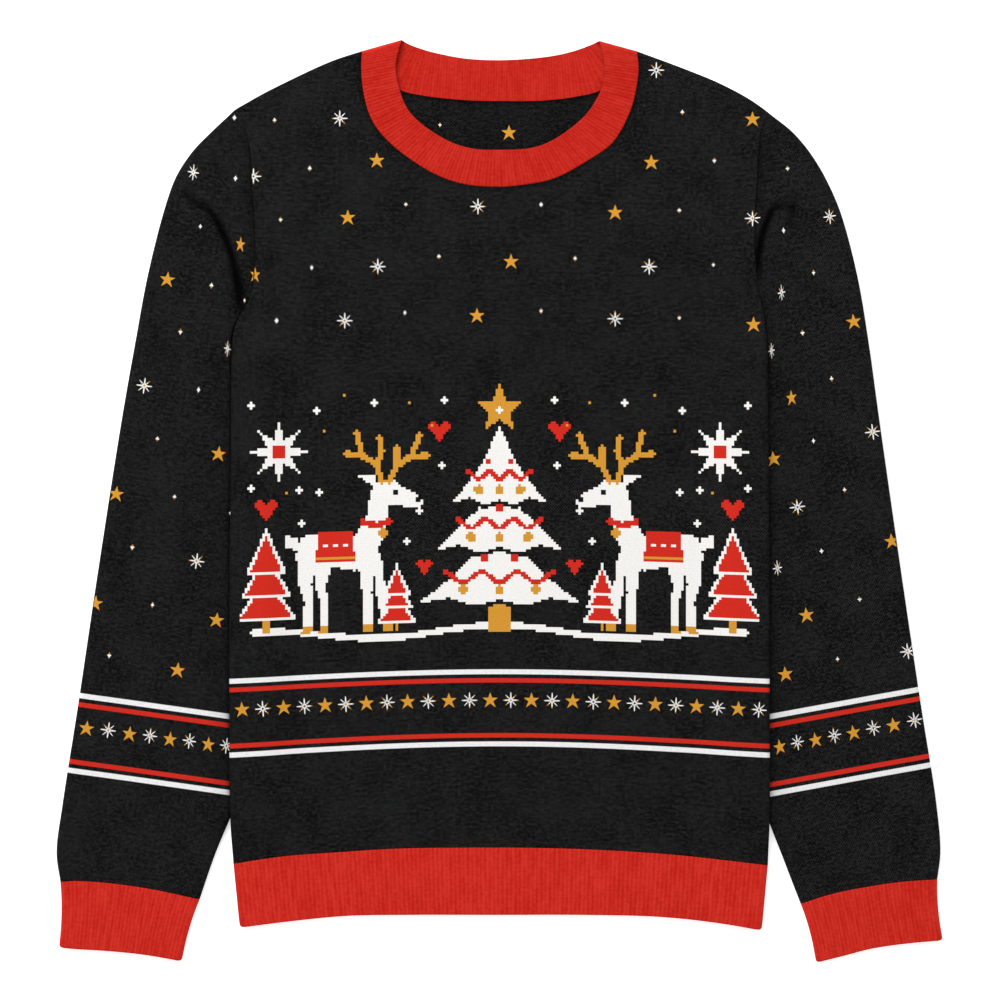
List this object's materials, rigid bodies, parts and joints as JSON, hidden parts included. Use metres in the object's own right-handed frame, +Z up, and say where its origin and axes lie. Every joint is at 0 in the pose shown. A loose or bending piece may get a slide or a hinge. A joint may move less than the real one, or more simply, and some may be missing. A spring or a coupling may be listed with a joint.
{
  "type": "christmas sweater",
  "caption": "Long-sleeve crew-neck knitted sweater laid flat, with ribbed collar, hem and cuffs, and the body's edges lying over the sleeves.",
  "frame": {"origin": "on the surface it lies on, under the middle of its outline", "axes": "+Y from the hem towards the collar, +X towards the sleeve on the picture's right, +Z up out of the surface"},
  "size_m": [0.7438, 0.7742, 0.0146],
  "materials": {
    "black_knit": "matt",
    "red_rib": "matt"
  },
  "bodies": {
    "root": {"front": "black_knit", "back": "black_knit", "hem_front": "red_rib", "hem_back": "red_rib", "sleeve_left": "black_knit", "sleeve_right": "black_knit", "cuff_left": "red_rib", "cuff_right": "red_rib", "collar": "red_rib"}
  },
  "joints": []
}
